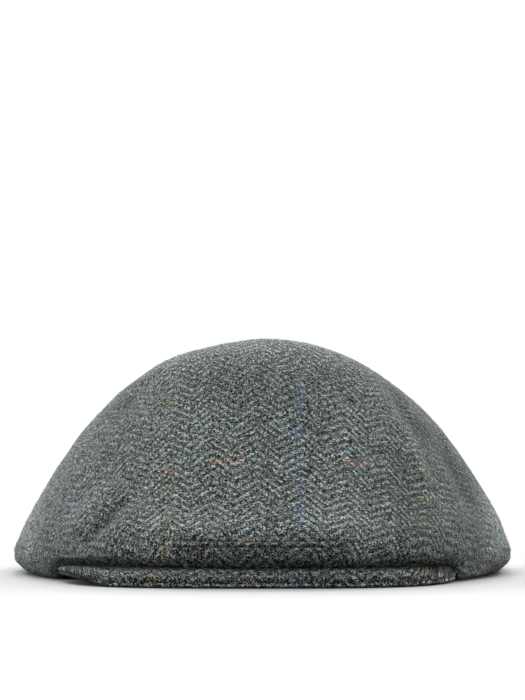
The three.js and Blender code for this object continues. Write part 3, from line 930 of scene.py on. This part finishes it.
def thread(name, colour):
    """Sewing thread: a dark twisted yarn whose plies show as slanting stripes."""
    sheet = NodeSheet(name)
    place = sheet.add("ShaderNodeTexCoord").outputs["Object"]
    plies = sheet.add("ShaderNodeTexWave", wave_type="BANDS", bands_direction="DIAGONAL")
    sheet.put(place, plies.inputs["Vector"])
    plies.inputs["Scale"].default_value = 900.0
    plies.inputs["Distortion"].default_value = 1.0
    darker = tuple(0.45 * part for part in colour)
    twist = sheet.colours(plies.outputs["Fac"], [(0.2, darker), (0.8, colour)])
    sheet.put(twist, sheet.shader.inputs["Base Color"])
    sheet.shader.inputs["Roughness"].default_value = 0.7
    sheet.shader.inputs["Sheen Weight"].default_value = 0.1
    return sheet.material


def wool_hair(name, colour):
    """Loose wool hairs: a pale matt fibre that changes tone along the cap."""
    sheet = NodeSheet(name)
    place = sheet.add("ShaderNodeTexCoord").outputs["Object"]
    tone = sheet.add("ShaderNodeTexNoise")
    sheet.put(place, tone.inputs["Vector"])
    tone.inputs["Scale"].default_value = 700.0
    darker = tuple(0.35 * part for part in colour)
    sheet.put(sheet.colours(tone.outputs["Fac"], [(0.35, darker), (0.65, colour)]),
              sheet.shader.inputs["Base Color"])
    sheet.shader.inputs["Roughness"].default_value = 0.85
    return sheet.material


def hairs(name, roots, normals, seed, count, longest, thickness):
    """Curved spindles of 12 triangles: a point, two rings of three, a point. Each lies nearly along the cloth
    in a random direction, lifted by half a sine and bent sideways by the square of the way along it."""
    rng = np.random.default_rng(seed)
    pick = rng.integers(0, len(roots), count)
    root, normal = roots[pick], normals[pick]
    spin = rng.normal(size=(count, 3))
    along = np.cross(normal, spin)
    along /= np.linalg.norm(along, axis=1, keepdims=True)
    across = np.cross(normal, along)
    length = longest * (0.35 + 0.65 * rng.random(count) ** 2)[:, None]
    rise = (0.04 + 0.30 * rng.random(count) ** 3)[:, None]
    bend = rng.normal(0, 0.28, count)[:, None]
    shares = np.array([0.0, 0.35, 0.7, 1.0])
    centre = [root + along * (length * s) + normal * (length * rise * math.sin(math.pi * (0.12 + 0.7 * s)))
              + across * (length * bend * s * s) - normal * 0.05 for s in shares]
    ring = []
    for turn in range(3):
        angle = turn * 2 * math.pi / 3
        offset = (across * math.cos(angle) + normal * math.sin(angle)) * thickness / 2
        ring.append((centre[1] + offset, centre[2] + offset))
    vertices = np.stack([centre[0]] + [r[0] for r in ring] + [r[1] for r in ring] + [centre[3]], 1)
    pattern = np.array([[0, 1, 2], [0, 2, 3], [0, 3, 1], [7, 5, 4], [7, 6, 5], [7, 4, 6],
                        [1, 4, 5], [1, 5, 2], [2, 5, 6], [2, 6, 3], [3, 6, 4], [3, 4, 1]])
    faces = (np.arange(count)[:, None, None] * 8 + pattern[None]).reshape(-1, 3)
    return add_mesh(name, vertices.reshape(-1, 3), [faces])


def scattered(seed, count, heading_reach, low_level, high_level):
    """Places on the crown for hairs: random heading and level, more of them where the loops are longer."""
    rng = np.random.default_rng(seed)
    heading = rng.uniform(-heading_reach, heading_reach, count)
    level = (low_level ** 2 + (high_level ** 2 - low_level ** 2) * rng.random(count)) ** 0.5
    level = np.minimum(level, top_panel_end(heading) - 0.02)
    return heading, level


def surface_at(heading, level):
    """Points and normals at pairs of heading and level, worked out in blocks to keep the arrays small."""
    points = np.empty((len(heading), 3))
    normals = np.empty((len(heading), 3))
    for start in range(0, len(heading), PLACES_IN_BLOCK):
        part = slice(start, start + PLACES_IN_BLOCK)
        points[part] = cloth_surface(heading[part], level[None, part])[0]
        normals[part] = plain_normal(heading[part], level[None, part])[0]
    return points, normals


def stitch_row(path, normals, radius):
    """Stitches along a path: each a small tube of six sides. A half sine lifts its middle off the cloth and
    swells its radius there, and its ends dip in."""
    run = arc_lengths(path[:, None])[:, 0]
    starts = np.arange(0.2, run[-1] - STITCH_LENGTH, STITCH_LENGTH + STITCH_GAP)
    shares = np.linspace(0, 1, 7)
    at = starts[:, None] + STITCH_LENGTH * shares[None]
    centre = np.stack([np.interp(at, run, path[:, k]) for k in range(3)], -1)
    up = np.stack([np.interp(at, run, normals[:, k]) for k in range(3)], -1)
    up /= np.linalg.norm(up, axis=-1, keepdims=True)
    forward = np.gradient(centre, axis=1)
    forward /= np.linalg.norm(forward, axis=-1, keepdims=True)
    aside = np.cross(forward, up)
    lift = radius * (1.7 * np.sin(math.pi * shares) - 0.9)
    centre = centre + up * lift[None, :, None]
    thick = radius * (0.45 + 0.55 * np.sin(math.pi * shares))
    turns = (np.arange(6) * math.pi / 3)[None, None, :, None]
    outwards = aside[:, :, None] * np.cos(turns) + up[:, :, None] * np.sin(turns)
    return centre[:, :, None] + thick[None, :, None, None] * outwards


def tubes_mesh(name, ring_sets):
    """One mesh from sets of rings, each tube closed by a fan of four triangles at both ends."""
    vertices, faces, caps, start = [], [], [], 0
    for rings in ring_sets:
        count, sections, sides = rings.shape[:3]
        number = (np.arange(count * sections * sides) + start).reshape(count, sections, sides)
        after = np.roll(number, -1, 2)
        quads = np.stack([number[:, :-1], after[:, :-1], after[:, 1:], number[:, 1:]], -1)
        faces.append(quads.reshape(-1, 4))
        for end, turned in ((0, True), (-1, False)):
            for k in range(1, sides - 1):
                fan = np.stack([number[:, end, 0], number[:, end, k], number[:, end, k + 1]], -1)
                caps.append(fan[:, ::-1] if turned else fan)
        vertices.append(rings.reshape(-1, 3))
        start += count * sections * sides
    return add_mesh(name, np.concatenate(vertices), [np.concatenate(faces), np.concatenate(caps)])


def fold_stitches():
    """Two rows of stitches across the front. At each heading, the level is the one of many even ones that
    comes nearest to the row's height."""
    heading = np.linspace(-18, 18, 400)
    levels = np.linspace(6.6, 8.2, 321)
    heights = plain_surface(heading, np.repeat(levels[:, None], len(heading), 1))[..., 2]
    sets = []
    for height, (radius, first_x, last_x) in zip(STITCH_ROWS, STITCH_THREADS):
        level = levels[np.argmin(np.abs(heights - height), 0)]
        plain = plain_surface(heading, level[None])
        point = cloth_surface(heading, level[None], sunk=stitch_groove(plain))[0]
        normal = plain_normal(heading, level[None])[0]
        kept = (point[:, 0] > first_x) & (point[:, 0] < last_x)
        sets.append(stitch_row(point[kept], normal[kept], radius))
    return tubes_mesh("fold_stitches", sets)


# The photograph's camera: its distance and height in metres, and its focal length in pixels of a 525x700
# frame. The lip's foot lies on one row of the frame, and this far in front of the origin.
CAMERA_DISTANCE = 1.8
CAMERA_HEIGHT = 0.095
FOCAL_PIXELS = 3822.0
FRAME_HEIGHT_PIXELS = 700
LIP_GROUND_ROW = 588.5
LIP_FOOT_IN_FRONT = 0.135
SENSOR = 36.0

# The light: the floor's height, half width and albedo, the surrounding as a sum of lobes, each a smooth step
# over the cosine to its direction (direction, cosine from, cosine to, value at from, value at to), and soft
# square lights (name, place, side, watts) that point at a place low in the cap.
FLOOR_Z = -0.0004
FLOOR_HALF = 6.0
FLOOR_ALBEDO = 0.252
SURROUNDING = (
    ((0, 1, 0), 0.0, 0.5, 0.10, 1.03),
    ((0, -0.12, 0.993), 0.42, 1.0, 0.0, 2.45),
    ((0, 0.84, 0.54), 0.985, 0.999, 0.0, 54.0),
    ((-0.42, 0.73, 0.54), 0.985, 0.999, 0.0, 54.0),
    ((0.42, 0.73, 0.54), 0.985, 0.999, 0.0, 54.0),
    ((-0.97, 0.0, 0.22), 0.50, 1.0, 0.0, 2.8),
    ((0.97, 0.0, 0.22), 0.50, 1.0, 0.0, 1.5),
)
SOFT_LIGHTS = (
    ("overhead", (0.0, 0.45, 1.45), 1.3, 1.0),
)
LIGHTS_POINT_AT = (0, 0, 0.05)


def set_camera():
    """The row of the lip's foot gives the pitch: its ray's angle less its angle in the frame. The view
    shows colours as they are."""
    ray = math.atan2(CAMERA_HEIGHT, CAMERA_DISTANCE - LIP_FOOT_IN_FRONT)
    pitch = ray - math.atan((LIP_GROUND_ROW - FRAME_HEIGHT_PIXELS / 2) / FOCAL_PIXELS)
    data = bpy.data.cameras.new("camera")
    data.sensor_width = SENSOR
    data.lens = SENSOR * FOCAL_PIXELS / FRAME_HEIGHT_PIXELS
    camera = bpy.data.objects.new("camera", data)
    camera.location = (0, -CAMERA_DISTANCE, CAMERA_HEIGHT)
    camera.rotation_euler = (math.pi / 2 - pitch, 0, 0)
    bpy.context.scene.collection.objects.link(camera)
    bpy.context.scene.camera = camera
    bpy.context.scene.view_settings.view_transform = "Standard"
    bpy.context.scene.view_settings.look = "None"


def set_floor():
    """A pale square floor just under the cap."""
    corners = [(x * FLOOR_HALF, y * FLOOR_HALF, FLOOR_Z) for x, y in ((-1, -1), (1, -1), (1, 1), (-1, 1))]
    mesh = bpy.data.meshes.new("floor")
    mesh.from_pydata(corners, [], [(0, 1, 2, 3)])
    floor = bpy.data.objects.new("floor", mesh)
    bpy.context.scene.collection.objects.link(floor)
    sheet = NodeSheet("pale_floor")
    sheet.shader.inputs["Base Color"].default_value = (FLOOR_ALBEDO, FLOOR_ALBEDO, FLOOR_ALBEDO, 1)
    sheet.shader.inputs["Roughness"].default_value = 0.9
    sheet.shader.inputs["Specular IOR Level"].default_value = 0.1
    mesh.materials.append(sheet.material)


def set_surrounding():
    """A white surrounding: each lobe brightens by a smooth step towards its direction, and they are added."""
    world = bpy.data.worlds.new("studio")
    bpy.context.scene.world = world
    world.use_nodes = True
    tree = world.node_tree
    background = tree.nodes["Background"]
    background.inputs["Color"].default_value = (1, 1, 1, 1)
    place = tree.nodes.new("ShaderNodeTexCoord")
    total = None
    for direction, low, high, low_value, high_value in SURROUNDING:
        cosine = tree.nodes.new("ShaderNodeVectorMath")
        cosine.operation = "DOT_PRODUCT"
        cosine.inputs[1].default_value = direction
        tree.links.new(place.outputs["Generated"], cosine.inputs[0])
        ramp = tree.nodes.new("ShaderNodeMapRange")
        ramp.interpolation_type = "SMOOTHSTEP"
        tree.links.new(cosine.outputs["Value"], ramp.inputs[0])
        for socket, value in zip(ramp.inputs[1:5], (low, high, low_value, high_value)):
            socket.default_value = value
        if total is None:
            total = ramp.outputs[0]
        else:
            both = tree.nodes.new("ShaderNodeMath")
            tree.links.new(total, both.inputs[0])
            tree.links.new(ramp.outputs[0], both.inputs[1])
            total = both.outputs[0]
    tree.links.new(total, background.inputs["Strength"])


def set_lights():
    """The soft square lights, each turned to point at one place low in the cap."""
    for name, place, size, energy in SOFT_LIGHTS:
        light = bpy.data.lights.new(name, "AREA")
        light.shape = "SQUARE"
        light.size = size
        light.energy = energy
        lamp = bpy.data.objects.new(name, light)
        lamp.location = place
        toward = mathutils.Vector(LIGHTS_POINT_AT) - lamp.location
        lamp.rotation_euler = toward.to_track_quat("-Z", "Y").to_euler()
        bpy.context.scene.collection.objects.link(lamp)


def finish_piece(piece, material, slot, *nodes):
    """Gives a piece its material, says what it rides on and hides the nodes it replaces; slot is not used."""
    piece.data.materials.append(material)
    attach(piece, "root")
    if nodes:
        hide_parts(*nodes)


# Brightness of the cloth on crown and panels and, darker as painted shade, on the peak, the ends by which
# the peak's weave is shifted, and the thread's colour.
CLOTH_TONE = 0.47
PEAK_SHADED_TONE = 0.375
PEAK_SHIFT = 4.0
THREAD_COLOUR = (0.010, 0.012, 0.012)

# The wool hairs: their colour, the places for their roots and the levels between which these lie, the number
# of hairs, and the longest one's length and thickness in millimetres.
HAIR_COLOUR = (0.30, 0.33, 0.32)
PLACES_SEED = 11
HAIR_PLACES = 15000
HAIR_LEVELS = (0.1, 10.2)
PLACES_IN_BLOCK = 1500
HAIR_SEED = 12
HAIR_COUNT = 15500
HAIR_LENGTH = 3.6
HAIR_THICKNESS = 0.085

set_camera()
set_floor()
set_surrounding()
set_lights()
crown_tweed = tweed("crown_tweed", CLOTH_TONE)
side_tweed = tweed("side_tweed", CLOTH_TONE)
# The peak's tweed is the same cloth with a lower tone: painted shade.
peak_tweed = tweed("peak_tweed", PEAK_SHADED_TONE, PEAK_SHIFT)
finish_piece(crown_cloth(), crown_tweed, "crown_tweed", "crown_top")
finish_piece(side_cloth("side_cloth_left", -1), side_tweed, "side_tweed", "side_panel_left")
finish_piece(side_cloth("side_cloth_right", 1), side_tweed, "side_tweed", "side_panel_right")
finish_piece(peak_cloth(), peak_tweed, "peak_tweed", "peak")
finish_piece(fold_stitches(), thread("grey_green_thread", THREAD_COLOUR), "crown_tweed")

pale_hair = wool_hair("pale_wool_hair", HAIR_COLOUR)
hair_roots = surface_at(*scattered(PLACES_SEED, HAIR_PLACES, 180, *HAIR_LEVELS))
crown_hairs = hairs("crown_hairs", *hair_roots, HAIR_SEED, HAIR_COUNT, HAIR_LENGTH, HAIR_THICKNESS)
finish_piece(crown_hairs, pale_hair, "crown_tweed")
